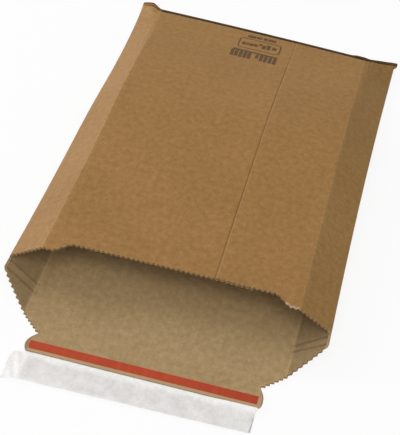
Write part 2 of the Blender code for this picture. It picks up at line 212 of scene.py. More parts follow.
def fold_height(y):
    share = FOLD_SHARE * smooth(openness(y), 0.0, FOLD_SPREAD)
    return fold_radius(y) + share * (crease_height(y) - FLAT_TOP)


def recess(x):
    """How far the top panel's edge is cut back."""
    return RECESS_DEPTH * (1.0 - smooth(abs(x), RECESS_HALF, RECESS_HALF + RECESS_RAMP))


def offset_line(points, first, last, distance):
    """A parallel line: mitred inside, with given normals at both ends."""
    along = points[1:] - points[:-1]
    along /= np.linalg.norm(along, axis=1)[:, None]
    side = np.stack([-along[:, 1], along[:, 0]], axis=1)
    result = points.copy()
    result[0] += distance * first
    a, b = side[:-1], side[1:]
    result[1:-1] += distance * (a + b) / (1.0 + (a * b).sum(axis=1))[:, None]
    result[-1] += distance * last
    return result


def tangent_angle(centre, point, radius, turn):
    """Angle on a circle where a straight line from a point touches it."""
    d = np.array(point) - np.array(centre)
    return math.atan2(d[1], d[0]) + turn * math.acos(radius / np.hypot(*d))


def unit(angle):
    return np.array([math.cos(angle), math.sin(angle)])


def arc(centre, radius, start, stop):
    return [centre + radius * unit(start + (stop - start) * i / FOLD_STEPS)
            for i in range(FOLD_STEPS + 1)]


def spread(a, b, count):
    """The points that divide a straight line into count parts, without its ends."""
    a, b = np.array(a), np.array(b)
    return [a + (b - a) * i / count for i in range(1, count)]


def panel_columns(y):
    """x of the panel's columns, half a tooth apart. Four more make the glued lap's steps."""
    xs = [-CREASE_LEFT[0] + PANEL_WIDTH * i / PANEL_COLUMNS for i in range(1, PANEL_COLUMNS)]
    xs = [x * crease_x(x, y) / crease_x(x, 0.0) for x in xs]
    return np.array(sorted(xs + LAP_STEPS))


def side_fold(side, y):
    """Centre of a side fold, and its angles at its top, middle and bottom."""
    radius = fold_radius(y)
    centre = np.array([side * (fold_x(side, y) - radius), fold_height(y)])
    crease = (side * crease_x(side, y), crease_height(y))
    high = tangent_angle(centre, crease, radius, -side)
    low = tangent_angle(centre, (side * FLOOR_CREASE, 0.0), radius, side)
    if side < 0:
        high, low = high % (2.0 * math.pi), low % (2.0 * math.pi)
    return centre, high, 0.5 * (high + low), low


@lru_cache(maxsize=None)
def lower_line(y):
    """Outer points (x, z) of the sheet's lower half, right fold to left fold, and inner ones."""
    radius = fold_radius(y)
    right, _, right_mid, right_low = side_fold(1.0, y)
    left, _, left_mid, left_low = side_fold(-1.0, y)
    line = arc(right, radius, right_mid, right_low)
    for x, columns in ((FLOOR_CREASE, STRIP_COLUMNS), (NECK_HALF, SHOULDER_COLUMNS),
                       (-NECK_HALF, FLOOR_COLUMNS), (-FLOOR_CREASE, SHOULDER_COLUMNS)):
        line += spread(line[-1], (x, 0.0), columns)
        line.append(np.array([x, 0.0]))
    end = arc(left, radius, left_low, left_mid)
    line += spread(line[-1], end[0], STRIP_COLUMNS)
    line = np.array(line + end)
    return line, offset_line(line, unit(right_mid), unit(left_mid), -BOARD)


def upper_line(y):
    """The same for the upper half, left fold to right fold."""
    radius = fold_radius(y)
    crease_z = crease_height(y)
    right, right_high, right_mid, _ = side_fold(1.0, y)
    left, left_high, left_mid, _ = side_fold(-1.0, y)
    line = arc(left, radius, left_mid, left_high)
    line += spread(line[-1], (-crease_x(-1.0, y), crease_z), STRIP_COLUMNS)
    line.append(np.array([-crease_x(-1.0, y), crease_z]))
    xs = panel_columns(y)
    line += [np.array([x, crease_z]) for x in xs]
    line.append(np.array([crease_x(1.0, y), crease_z]))
    end = arc(right, radius, right_high, right_mid)
    line += spread(line[-1], end[0], STRIP_COLUMNS)
    line = np.array(line + end)
    inner = offset_line(line, unit(left_mid), unit(right_mid), -BOARD)
    ease(line)
    fade = smooth(xs, SEAM_X, LAP_END_X)
    rows = slice(LEFT_CREASE + 1, LEFT_CREASE + 1 + len(xs))
    line[rows, 1] += LAP_STEP * smooth(xs, SEAM_X, SEAM_X + STEP) * (1.0 - fade)
    hidden = 1.0 - smooth(xs, LAP_END_X, LAP_END_X + STEP)
    inner[rows, 1] -= LAP_STEP * hidden * fade
    return line, inner


def ease(line):
    """Round the two top creases a little."""
    for k in (LEFT_CREASE, RIGHT_CREASE):
        line[k] = 0.8 * line[k] + 0.1 * (line[k - 1] + line[k + 1])


def lengths(line):
    return np.concatenate([[0.0], np.cumsum(np.linalg.norm(np.diff(line, axis=0), axis=1))])


# Columns of the upper half, from the left fold
LAP_STEPS = [SEAM_X, SEAM_X + STEP, LAP_END_X, LAP_END_X + STEP]
PANEL_X = panel_columns(0.0)
LEFT_CREASE = FOLD_STEPS + STRIP_COLUMNS
RIGHT_CREASE = LEFT_CREASE + len(PANEL_X) + 1
LAP_COLUMNS = [LEFT_CREASE + 1 + int(np.argmin(abs(PANEL_X - x))) for x in LAP_STEPS]
SEAM_COLUMN = LAP_COLUMNS[0]

# The flat sheet's s at each column. The upper half has two runs that meet at the seam
LOWER_S = lengths(lower_line(0.0)[0])
UPPER_S = lengths(upper_line(0.0)[0])
LOWER_COUNT, UPPER_COUNT = len(LOWER_S), len(UPPER_S)
LOWER_MIDDLE = 0.5 * LOWER_S[-1]
FLOOR_S = LOWER_MIDDLE - LOWER_S
UPPER_LEFT_S = -LOWER_MIDDLE - UPPER_S
UPPER_RIGHT_S = LOWER_MIDDLE + UPPER_S[-1] - UPPER_S
UPPER_FLAT_S = np.where(np.arange(UPPER_COUNT) <= SEAM_COLUMN, UPPER_LEFT_S, UPPER_RIGHT_S)

# The flap's columns, and the diagonal cuts from its notches to the side folds
FLAP_FIRST = int(np.argmin(abs(FLOOR_S - NECK_HALF)))
FLAP_LAST = int(np.argmin(abs(FLOOR_S + NECK_HALF)))
CUT_DROP = NECK_Y - SPINE_LENGTH
CUT_RUN = LOWER_MIDDLE - NECK_HALF


# Forms that are laid over the cross sections

def ear(x, y):
    """Upward curl of the closed end's corners."""
    far = np.where(x > 0, fold_x(1.0, y), fold_x(-1.0, y))
    near = np.where(x > 0, crease_x(1.0, y), crease_x(-1.0, y))
    reach = np.maximum((np.abs(x) - near) / (far - near), 0.0)
    left = EAR_LEFT * (smooth(reach, 0.0, 0.5) - EAR_DROOP * smooth(reach, 0.5, 1.0))
    rise = np.where(x > 0, EAR_RIGHT * reach ** EAR_POWER, left)
    return rise * math.exp((y - BODY_LENGTH) / EAR_REACH)


def place(line, y):
    """Points in the frame for those of a cross section."""
    x = line[:, 0]
    shift = x * (END_TURN + END_BOW * x) * max(y, 0.0) / BODY_LENGTH
    return np.stack([x, MOUTH_Y + y - shift, line[:, 1] + ear(x, y)], axis=1)


def clamp(line, y, low, high):
    """The closed end's rows are pressed flat, and the right corner stands out a little."""
    line = line.copy()
    tab = EAR_TAB * smooth(y, BODY_LENGTH - TAB_ROWS[0], BODY_LENGTH - TAB_ROWS[1])
    line[:, 1] = np.clip(line[:, 1], low * FLAT_TOP, high * FLAT_TOP)
    line[:, 0] += tab * smooth(line[:, 0], FOLD_RIGHT[2] - TAB_START, FOLD_RIGHT[2])
    if y > BODY_LENGTH - END_RIDGE - TINY:
        near = 1.0 - smooth(np.abs(line[:, 0] - KINK_X), 0.3 * KINK_HALF, KINK_HALF)
        line[:, 1] += KINK_RISE * near * (line[:, 1] > 0.5 * FLAT_TOP)
    return line


def flare(side, depth):
    """The flap's rounded end, from the middle, at a depth past the notches."""
    widest = FLARE_RIGHT if side > 0 else FLARE_LEFT
    swell = math.sin(0.5 * math.pi * depth / FLARE_DEPTH)
    past = max(depth - (FLAP_DEPTH - CORNER), 0.0)
    cut = CORNER - math.sqrt(max(CORNER ** 2 - past ** 2, 0.0))
    return NECK_HALF + (widest - NECK_HALF) * swell - cut


def flap_lift(y):
    """The flap lies on the closure tape."""
    return TAPE_THICK * smooth(-y, NECK_Y, NECK_Y + RAMP_DEPTH)


def cut_y(s):
    """y of the front cut at a distance across the flat sheet."""
    if abs(s) <= NECK_HALF:
        return -NECK_Y
    return -NECK_Y + CUT_DROP * (abs(s) - NECK_HALF) / CUT_RUN


def zigzag(count, free=()):
    """Teeth at every other column, in metres. Columns named free lie between their neighbours."""
    toothed = [i for i in range(count) if i not in free]
    swing = [0.5 * TOOTH_DEPTH * (-1.0) ** n for n in range(len(toothed))]
    return np.interp(np.arange(count), toothed, swing)


def end_rows():
    """The closed end from its fold inwards: y, lowest and highest share of the height."""
    rows = []
    for angle in RIDGE_ANGLES:
        turn = math.radians(angle)
        y = BODY_LENGTH - 0.5 * END_RIDGE * (1.0 - math.cos(turn))
        low = RIDGE_NOSE - RIDGE_NOSE * math.sin(turn)
        rows.append((y, low, RIDGE_NOSE + RIDGE_UPPER * math.sin(turn)))
    rows += [(BODY_LENGTH - share * END_RIDGE, 0.0, height) for share, height in RIDGE_BACK]
    rows.append((BODY_LENGTH - END_RIDGE - STEP, 0.0, GAP_HEIGHT))
    rows.append((END_INSIDE, 0.0, GAP_HEIGHT))
    rows.append((END_INSIDE - STEP, 0.0, 1.0))
    return rows


def tube_rows():
    """y of the tube's rows, from the closed end's gap to where the mouth's rows begin."""
    count = int((CAVITY_END - FRINGE) / ROW_PITCH)
    first = np.linspace(END_INSIDE, CAVITY_END, END_FLAP_ROWS + 1)[1:]
    rest = np.linspace(CAVITY_END, FRINGE, count + 1)[1:]
    return list(first) + list(rest)


def flap_rows():
    """The flap's rows as depths past the notches, close together at its rounded corners."""
    rows = list(np.linspace(0.0, FLAP_DEPTH - CORNER, FLAP_ROWS + 1)[1:])
    return rows + [FLAP_DEPTH - CORNER * (1.0 - math.sin(math.radians(a))) for a in CORNER_ANGLES]


def end_kind(column, row):
    """The ridge is painted dark as shade. At its corners only a thin line stays dark."""
    if column < LEFT_CREASE:
        dark = DARK_LEFT
    elif column > RIGHT_CREASE:
        dark = DARK_RIGHT
    elif abs(PANEL_X[min(column - LEFT_CREASE, len(PANEL_X) - 1)] - KINK_X) < 0.8 * KINK_HALF:
        dark = DARK_KINK
    else:
        dark = DARK_RIDGE
    return RIDGE_SHADE if row in dark else OUTSIDE


# Meshes

class Sheet:
    """Vertices and faces of the body, with a material and flat coordinates for each face."""

    def __init__(self):
        self.points, self.flat = [], []
        self.faces, self.kinds, self.uvs = [], [], []

    def add(self, points, flat):
        first = len(self.points)
        self.points += [tuple(p) for p in points]
        self.flat += [tuple(f) for f in flat]
        return list(range(first, first + len(points)))

    def face(self, loop, kind, uv):
        self.faces.append(loop)
        self.kinds.append(kind)
        self.uvs.append(uv)


class Skin:
    """One face of the board, outside (layer 0) or inside (layer 1), built row by row."""

    def __init__(self, sheet, layer):
        self.sheet, self.layer = sheet, layer
        self.kind = INSIDE if layer else OUTSIDE
        self.uppers, self.lowers = [], []

    def build(self):
        """Build it from the closed end forwards. Returns the loop of its cut edge."""
        self.tube()
        self.mouth()
        front = self.front()
        last = front[-1]
        flap = self.flap(last[FLAP_FIRST:FLAP_LAST + 1])
        loop = self.uppers[-1] + [row[0] for row in front] + last[1:FLAP_FIRST + 1]
        loop += [row[0] for row in flap] + flap[-1][1:-1] + [row[-1] for row in flap[::-1]]
        return loop + last[FLAP_LAST:-1] + [row[-1] for row in front[::-1]]

    def face(self, loop, kind, uv):
        """Inner faces point the other way."""
        if self.layer:
            loop, uv = loop[::-1], uv[::-1]
        self.sheet.face(loop, kind, uv)

    def quads(self, row, following, upper=False, kinds=None):
        """Join two rows. In the upper ones, the column at the seam belongs to the right run."""
        for i in range(len(row) - 1):
            loop = [row[i], following[i], following[i + 1], row[i + 1]]
            uv = [self.sheet.flat[k] for k in loop]
            if upper and i == SEAM_COLUMN:
                uv = [(UPPER_RIGHT_S[i + (n in (2, 3))], uv[n][1]) for n in range(4)]
            self.face(loop, kinds[i] if kinds else self.kind, uv)

    def extend(self, rows, row, upper=False):
        """Add a row and join it to the one before."""
        rows.append(row)
        self.quads(rows[-2], row, upper)

    def lower_row(self, line, y):
        """A new lower row, which shares its end points with the last upper one."""
        ids = self.sheet.add(place(line, y)[1:-1], [(s, y) for s in FLOOR_S[1:-1]])
        return [self.uppers[-1][-1]] + ids + [self.uppers[-1][0]]

    def row(self, y, low=None, high=None):
        """One ring of the tube, pressed between two shares of the height at its closed end."""
        upper, lower = upper_line(y)[self.layer], lower_line(y)[self.layer]
        if low is not None:
            upper, lower = clamp(upper, y, low, high), clamp(lower, y, low, high)
        self.uppers.append(self.sheet.add(place(upper, y), [(s, y) for s in UPPER_FLAT_S]))
        self.lowers.append(self.lower_row(lower, y))

    def tube(self):
        """The closed end and the tube, or inside only as far as the glued board."""
        if not self.layer:
            for y, low, high in end_rows():
                self.row(y, low, high)
        for y in tube_rows():
            if not self.layer or y < CAVITY_END + TINY:
                self.row(y)
        for k, (a, b) in enumerate(zip(self.uppers, self.uppers[1:])):
            kinds = None if self.layer else [end_kind(i, k) for i in range(UPPER_COUNT)]
            self.quads(a, b, True, kinds)
        for a, b in zip(self.lowers, self.lowers[1:]):
            self.quads(a, b)
        cap = self.uppers[0] + self.lowers[0][1:-1]
        self.face(cap, self.kind, [self.sheet.flat[k] for k in cap])

    def mouth(self):
        """Rows that bend to the mouth's cut-back, toothed edge, with the floor under them."""
        teeth = zigzag(UPPER_COUNT, LAP_COLUMNS)
        teeth[:FOLD_STEPS] = 0.0
        teeth[-FOLD_STEPS:] = 0.0
        near, far = upper_line(0.0)[self.layer], upper_line(FRINGE)[self.layer]
        cut = recess(near[:, 0])
        for j in range(1, FRINGE_ROWS + 1):
            share = j / FRINGE_ROWS
            level = FRINGE * (1.0 - share)
            y = level + cut * share + teeth * smooth(share, 0.5, 1.0)
            line = near + (far - near) * (y / FRINGE)[:, None]
            points = [place(line[i:i + 1], y[i])[0] for i in range(UPPER_COUNT)]
            self.extend(self.uppers, self.sheet.add(points, zip(UPPER_FLAT_S, y)), True)
            self.extend(self.lowers, self.lower_row(lower_line(level)[self.layer], level))

    def front(self):
        """Rows of the lower half past the front edge, down to its diagonal cuts."""
        ends = [cut_y(s) for s in FLOOR_S]
        swing = zigzag(LOWER_COUNT)
        swing[:FOLD_STEPS + 1] = 0.0
        swing[-FOLD_STEPS - 1:] = 0.0
        swing[FLAP_FIRST:FLAP_LAST + 1] = 0.0
        slope = CUT_DROP / CUT_RUN
        across = np.array([-slope, 1.0]) / math.hypot(slope, 1.0)
        rows = [self.lowers[-1]]
        for j in range(1, FRONT_ROWS + 1):
            share = j / FRONT_ROWS
            weight = smooth(share, 0.55, 1.0)
            points, flat = [], []
            for i, s in enumerate(FLOOR_S):
                shift = (1.0 if s > 0 else -1.0) * across[0] * swing[i] * weight
                y = ends[i] * share + across[1] * swing[i] * weight
                line = lower_line(round(y, SAME_ROW))[self.layer]
                k = min(max(i - shift / CUT_COLUMN, 0.0), LOWER_COUNT - 1.0)
                n = min(int(k), LOWER_COUNT - 2)
                x, z = line[n] + (line[n + 1] - line[n]) * (k - n)
                points.append((x, MOUTH_Y + y, z + flap_lift(y)))
                flat.append((s + shift, y))
            self.extend(rows, self.sheet.add(points, flat))
        return rows[1:]

    def flap(self, first):
        """Rows of the closure flap, after its first one at the notches."""
        shares = FLOOR_S[FLAP_FIRST:FLAP_LAST + 1] / NECK_HALF
        rows = [first]
        for depth in flap_rows():
            y = -NECK_Y - depth
            z = flap_lift(y) + (BOARD if self.layer else 0.0)
            xs = [s * flare(s, depth) for s in shares]
            ids = self.sheet.add([(x, MOUTH_Y + y, z) for x in xs], [(x, y) for x in xs])
            self.extend(rows, ids)
        return rows[1:]


def walls(sheet, outer, inner):
    """The board's cut edge. Its flat coordinates are the way along it and across it."""
    along = 0.0
    for a, b, c, d in zip(outer, outer[1:] + outer[:1], inner[1:] + inner[:1], inner):
        run = math.dist(sheet.points[a], sheet.points[b])
        uv = [(along, 0.0), (along + run, 0.0), (along + run, 1.0), (along, 1.0)]
        sheet.face([a, b, c, d], CUT, uv)
        along += run


def add_object(name, data):
    obj = bpy.data.objects.new(name, data)
    bpy.context.scene.collection.objects.link(obj)
    return obj


def make_mesh(name, points, faces, kinds, uvs, worn=()):
    """A smooth-shaded object. Points named worn lie on a worn cut edge."""
    mesh = bpy.data.meshes.new(name)
    mesh.from_pydata(points, [], faces)
    wear = mesh.attributes.new("wear", "FLOAT", "POINT")
    for i in worn:
        x, _, z = points[i]
        torn = TORN_SPAN[0] < x - RECESS_HALF < TORN_SPAN[1] and z > 0.5 * CREASE_RISE
        wear.data[i].value = WEAR_TORN if torn else WEAR_LIGHT
    mesh.polygons.foreach_set("material_index", kinds)
    layer = mesh.uv_layers.new(name="sheet")
    layer.data.foreach_set("uv", [c for loop in uvs for uv in loop for c in uv])
    mesh.polygons.foreach_set("use_smooth", [True] * len(faces))
    mesh.validate()
    mesh.set_sharp_from_angle(angle=SHARP_ANGLE)
    return add_object(name, mesh)


def build_body():
    sheet = Sheet()
    outer = Skin(sheet, 0).build()
    inner = Skin(sheet, 1).build()
    walls(sheet, outer, inner)
    return make_mesh("envelope_sheet", sheet.points, sheet.faces, sheet.kinds, sheet.uvs, outer)


# The release liner: its mesh's fineness, cut ends and waves
LINER_COLUMNS, LINER_ROWS = 150, 24
LINER_GATHER = 1.3   # its rows lie closer together near the flap
LINER_TRIM = 0.0006  # how far its ends lie inside the CAD piece's
LINER_RAGGED = 0.00035  # how far they waver
LINER_SKEW = 0.0018  # how much shorter its free edge is, at the right
LINER_TIP_ROW = 9    # the one row that reaches the CAD piece's left end
HANG_SHARE = 0.45    # share of the loose end that hangs, before it curls up
LONG_WAVE = 0.00016
SHORT_WAVE = 0.00010
CRUMPLE = 0.00035
EDGE_RISE = 0.00030
FLAP_RISE_RUN = (-0.0035, 0.0002)  # where it rises against the flap's edge
FLAP_RISE_X = (0.036, 0.060)  # from where to where it rises higher
FLAP_RISE_LEFT, FLAP_RISE_MORE = 0.35, 0.45
FLAP_CLEAR = 0.00005


def liner_y(x, share):
    """y across the liner, from the flap's edge (share 0) to its free edge (share 1)."""
    past = max(-x - TAPE_HALF, 0.0)
    far = TAPE_FAR - LINER_PAST + LINER_TURN * x
    slip = LINER_SLIP * smooth(past, 0.0, LINER_TAB)
    return LINER_NEAR + (far - LINER_NEAR) * share - slip


def liner_height(x, y, share):
    """Low waves, a rise against the flap's edge, and a loose end that hangs and curls up."""
    past = max(-x - TAPE_HALF, 0.0)
    hang = smooth(past, 0.0, HANG_SHARE * LINER_TAB)
    curl = smooth(past, HANG_SHARE * LINER_TAB, LINER_TAB)
    wave = LONG_WAVE * (1.0 + math.sin(95.0 * x + 2.2 * share)) * (0.3 + 0.7 * share)
    wave += SHORT_WAVE * (1.0 + math.sin(233.0 * x - 3.0 * share + 1.0)) * share
    wave += EDGE_RISE * share ** 4
    crumple = CRUMPLE * (1.0 + math.sin(700.0 * x + 420.0 * y)) * hang * (1.0 - curl)
    rest = TAPE_THICK * (1.0 - hang) + (LINER_CURL - LINER_THICK) * curl * (0.75 + 0.25 * share)
    over = smooth(y, LINER_NEAR + FLAP_RISE_RUN[0], LINER_NEAR + FLAP_RISE_RUN[1])
    over *= FLAP_RISE_LEFT + FLAP_RISE_MORE * smooth(x, *FLAP_RISE_X)
    return rest + (wave + crumple) * (1.0 - curl) + (BOARD + FLAP_CLEAR) * over


def liner_point(i, j, top):
    """A point of the liner's underside, or of its top, at column i and row j."""
    share = (j / LINER_ROWS) ** LINER_GATHER
    ragged = LINER_RAGGED * (math.sin(9.0 * share + 1.0) + 0.6 * math.sin(23.0 * share))
    low_x = LINER_LOW.x + LINER_TRIM + ragged
    high_x = LINER_HIGH.x - LINER_TRIM + ragged - LINER_SKEW * share
    if i == 0 and j == LINER_TIP_ROW:
        low_x = LINER_LOW.x
    x = low_x + (high_x - low_x) * i / LINER_COLUMNS
    y = max(liner_y(x, share), LINER_LOW.y)
    return x, y, liner_height(x, y, share) + LINER_THICK * top


def build_liner():
    """The release liner as a thin wavy sheet with slightly uneven cut ends."""
    nx, ny = LINER_COLUMNS, LINER_ROWS
    spots = [(i, j) for i in range(nx + 1) for j in range(ny + 1)]
    points = [liner_point(i, j, top) for top in (0, 1) for i, j in spots]
    size = len(spots)

    def at(i, j, top):
        return top * size + i * (ny + 1) + j

    faces = []
    for i in range(nx):
        for j in range(ny):
            faces.append((at(i, j, 1), at(i, j + 1, 1), at(i + 1, j + 1, 1), at(i + 1, j, 1)))
            faces.append((at(i, j, 0), at(i + 1, j, 0), at(i + 1, j + 1, 0), at(i, j + 1, 0)))
    rim = [(i, 0) for i in range(nx)] + [(nx, j) for j in range(ny)]
    rim += [(i, ny) for i in range(nx, 0, -1)] + [(0, j) for j in range(ny, 0, -1)]
    for (i, j), (m, n) in zip(rim, rim[1:] + rim[:1]):
        faces.append((at(i, j, 0), at(i, j, 1), at(m, n, 1), at(m, n, 0)))
    uvs = [[points[v][:2] for v in face] for face in faces]
    return make_mesh("liner_sheet", points, faces, [0] * len(faces), uvs)


# Materials. Their coordinates and widths are in millimetres, and their bumps' depths in metres

MM = 1000.0
END_MM = MM * BODY_LENGTH
SPINE_MM = MM * SPINE_LENGTH
NECK_MM = MM * NECK_Y
FLARE_MM = MM * FLARE_RIGHT
FLOOR_CREASE_MM = MM * FLOOR_CREASE
TAPE_HALF_MM = MM * TAPE_HALF
TEAR_STRIP_MM = MM * (TEAR_STRIP_Y - MOUTH_Y)
FLUTE_MM = MM * TOOTH_PITCH  # the flutes are as far apart as the teeth

# s of the outer side strips' creases, and the width of a lower side strip
STRIP_CREASE_MM = MM * (LOWER_MIDDLE + UPPER_S[LEFT_CREASE])
STRIP_MM = MM * math.hypot(FOLD_RIGHT[0] - FLOOR_CREASE, FOLD_SHARE * CREASE_RISE)
STRIP_SLANT = 0.35  # the slant that the shading keeps where the strips lie flat

# The print: its middle, left of the seam at the closed end, and from there its parts
STAMP_S = MM * float(np.interp(0.0, PANEL_X, UPPER_LEFT_S[LEFT_CREASE + 1:RIGHT_CREASE]))
STAMP_Y = END_MM - 24.0
STAMP_FRAME = (-0.3, 0.0, 16.0, 8.0)  # middle, then half of its width and height
FRAME_RADIUS = 2.6
BAR_RADIUS = 0.3
STAMP_BARS = [
    (-11.8, 0.6, 1.5, 2.0), (-7.2, 0.6, 1.3, 3.6), (-3.6, -0.4, 1.3, 3.0), (-0.6, 2.4, 0.9, 1.4),
    (2.8, -0.2, 1.5, 1.9), (6.2, -0.8, 1.3, 1.9), (9.2, -0.6, 1.0, 1.6), (12.0, -0.8, 1.1, 2.2),
    (-8.0, 12.8, 3.0, 1.7), (-2.6, 12.6, 1.4, 1.7), (2.2, 12.6, 1.8, 1.7), (8.0, 12.2, 3.0, 1.7),
    (1.0, -13.0, 17.0, 1.0)]
STAMP_BARS += [(u, -18.8, 1.15, 5.6) for u in (-15.4, -12.0, -8.4, -5.0)]
STAMP_BARS += [(u, -19.6, 1.15, 5.2) for u in (4.4, 7.6, 11.0, 14.4, 17.6)]
STAMP_BARS += [(-1.4, -18.0, 1.0, 3.2)]


def colour(r, g, b):
    """A linear colour from one written as seen on screen, 0 to 255."""
    def linear(v):
        v /= 255.0
        return v / 12.92 if v <= 0.04045 else ((v + 0.055) / 1.055) ** 2.4
    return (linear(r), linear(g), linear(b), 1.0)


# Colours of the paper: base, and the light and dark ones of its clouds
OUTER_PAPER = (colour(157, 117, 67), colour(157, 117, 67), colour(146, 107, 58))
INNER_PAPER = (colour(172, 144, 102), colour(174, 147, 106), colour(160, 133, 93))
PALE_FIBRE = colour(186, 156, 118)
DEEP_FIBRE = colour(108, 78, 36)
SEAM_SHADE = colour(92, 60, 26)
# painted shade: in the score lines, on the inner side strips and at the flap's rounded rim
PAINTED_SHADE = colour(84, 66, 42)
# pale: rubbed wear, and painted highlights on the seam's lip and the folds
PALE_WEAR_AND_HIGHLIGHT = colour(196, 164, 120)
INK = colour(46, 33, 15)
TORN = colour(228, 208, 176)
FLAP_TOP = colour(192, 154, 117)  # the flap's paper past the tear strip
LIT_FLAP_RIM = colour(186, 168, 136)  # its cut edge, painted lighter as painted light
LEFT_STRIP_SHEEN = (0.99, 1.015, 1.11, 1.0)  # factors on the outer side strips' colour, painted sheen at the left and painted shade at the right
RIGHT_STRIP_SHADE = (0.93, 0.975, 0.91, 1.0)
WHITE = (1.0, 1.0, 1.0, 1.0)

# How strongly the parts of the paper's texture show
MOTTLE_DEPTH = 0.41
GRAIN_DEPTH = 0.27
SPECK_GLOW = 0.095
FIBRE_SHARE = 0.26
PAPER_RELIEF = 0.00006


class Nodes:
    """A short way to write the nodes of a material or a world."""

    def __init__(self, owner):
        owner.use_nodes = True
        self.owner, self.tree = owner, owner.node_tree

    def node(self, kind, settings=None, **inputs):
        """A new node. An input goes by its name, or by its number as in0, in1 and so on."""
        made = self.tree.nodes.new(kind)
        for key, value in (settings or {}).items():
            setattr(made, key, value)
        for key, value in inputs.items():
            label = int(key[2:]) if key.startswith("in") else key.replace("_", " ")
            self.put(made.inputs[label], value)
        return made

    def put(self, socket, value):
        if isinstance(value, bpy.types.NodeSocket):
            self.tree.links.new(value, socket)
        else:
            socket.default_value = value

    def math(self, operation, a, b=0.0):
        return self.node("ShaderNodeMath", {"operation": operation}, in0=a, in1=b).outputs[0]

    def plus(self, a, b):
        return self.math("ADD", a, b)

    def minus(self, a, b):
        return self.math("SUBTRACT", a, b)

    def times(self, a, b):
        return self.math("MULTIPLY", a, b)

    def larger(self, a, b):
        return self.math("MAXIMUM", a, b)

    def distance(self, a, b):
        """How far two values are apart."""
        return self.math("ABSOLUTE", self.minus(a, b))

    def swing(self, noise, depth):
        """A noise about 0 instead of about its middle, times a depth."""
        return self.times(self.minus(noise, 0.5), depth)

    def ramp(self, value, low, high, to_low=0.0, to_high=1.0):
        made = self.node("ShaderNodeMapRange", {"interpolation_type": "SMOOTHSTEP"}, Value=value,
                         From_Min=low, From_Max=high, To_Min=to_low, To_Max=to_high)
        return made.outputs[0]

    def line(self, value, at, half, soft):
        """A mask of a line: 1 within half of a value, gone at half plus soft."""
        return self.ramp(self.distance(value, at), half, half + soft, 1.0, 0.0)

    def noise(self, vector, scale, detail=2.0, roughness=0.5):
        made = self.node("ShaderNodeTexNoise", Vector=vector, Scale=scale, Detail=detail,
                         Roughness=roughness)
        return made.outputs["Fac"]

    def mapped(self, vector, **how):
        return self.node("ShaderNodeMapping", Vector=vector, **how).outputs[0]

    def stretch(self, vector, x, y, z=1.0):
        return self.mapped(vector, Scale=(x, y, z))

    def parts(self, vector):
        made = self.node("ShaderNodeSeparateXYZ", Vector=vector)
        return made.outputs[0], made.outputs[1]

    def mix(self, share, a, b, blend="MIX"):
        settings = {"data_type": "RGBA", "blend_type": blend}
        return self.node("ShaderNodeMix", settings, in0=share, in6=a, in7=b).outputs[2]

    def grey(self, value):
        return self.node("ShaderNodeCombineColor", in0=value, in1=value, in2=value).outputs[0]

    def tinted(self, a, b):
        return self.mix(1.0, a, b, "MULTIPLY")

    def scaled(self, tint, share):
        return self.tinted(tint, self.grey(share))

    def bump(self, height, distance, normal=None):
        made = self.node("ShaderNodeBump", Height=height, Distance=distance, Strength=1.0)
        if normal is not None:
            self.put(made.inputs["Normal"], normal)
        return made.outputs[0]

    def sheet(self):
        """The flat coordinates that a mesh carries, in metres."""
        return self.node("ShaderNodeUVMap", {"uv_map": "sheet"}).outputs[0]

    def flat(self):
        return self.stretch(self.sheet(), MM, MM)

    def spot(self):
        """The place in the frame, in metres."""
        return self.node("ShaderNodeTexCoord").outputs["Object"]

    def spot_mm(self):
        return self.stretch(self.spot(), MM, MM, MM)

    def wear(self):
        return self.node("ShaderNodeAttribute", {"attribute_name": "wear"}).outputs["Fac"]

    def surface(self, tint, roughness, normal=None, specular=0.5):
        """Set the shader's own sockets and hand back the finished material."""
        shader = self.tree.nodes["Principled BSDF"]
        self.put(shader.inputs["Base Color"], tint)
        self.put(shader.inputs["Roughness"], roughness)
        self.put(shader.inputs["Specular IOR Level"], specular)
        if normal is not None:
            self.put(shader.inputs["Normal"], normal)
        return self.owner


def material_nodes(name):
    return Nodes(bpy.data.materials.new(name))


def kraft(name, paper, rough, marks):
    """Kraft paper: soft clouds, fine mottle, short fibres along the sheet, pale frayed cuts."""
    n = material_nodes(name)
    base, light, dark = paper
    flat = n.flat()
    speckled = n.stretch(flat, 0.9, 0.8)
    clouds = n.noise(flat, 0.018, 3.0)
    mottle = n.noise(speckled, 0.28, 5.0, 0.6)
    grain = n.noise(speckled, 0.85, 3.0, 0.65)
    pale = n.noise(n.stretch(flat, 1.0, 0.6), 0.95, 1.0)
    elsewhere = n.mapped(flat, Location=(61.0, 61.0, 0.0))
    deep = n.noise(n.stretch(elsewhere, 1.0, 0.6), 0.80, 1.0)
    tint = n.mix(n.ramp(clouds, 0.3, 0.7), dark, light)
    tint = n.mix(n.ramp(mottle, 0.32, 0.68), n.mix(0.5, tint, dark), n.mix(0.5, tint, base))
    speck = n.plus(n.swing(mottle, MOTTLE_DEPTH), n.swing(grain, GRAIN_DEPTH))
    tint = n.scaled(tint, n.plus(1.03, speck))
    tint = n.mix(1.0, tint, n.grey(n.times(speck, SPECK_GLOW)), "ADD")
    tint = n.mix(n.ramp(pale, 0.66, 0.80, 0.0, FIBRE_SHARE), tint, PALE_FIBRE)
    tint = n.mix(n.ramp(deep, 0.64, 0.80, 0.0, FIBRE_SHARE), tint, DEEP_FIBRE)
    frayed = n.times(n.ramp(n.wear(), 0.45, 1.0), n.ramp(grain, 0.36, 0.62, 0.12, 0.75))
    tint = n.mix(frayed, tint, TORN)
    normal = n.bump(n.plus(n.times(mottle, 0.6), n.times(grain, 0.4)), PAPER_RELIEF)
    tint, normal = marks(n, flat, tint, normal, grain)
    return n.surface(tint, n.ramp(mottle, 0.3, 0.7, rough - 0.06, rough + 0.06), normal, 0.3)


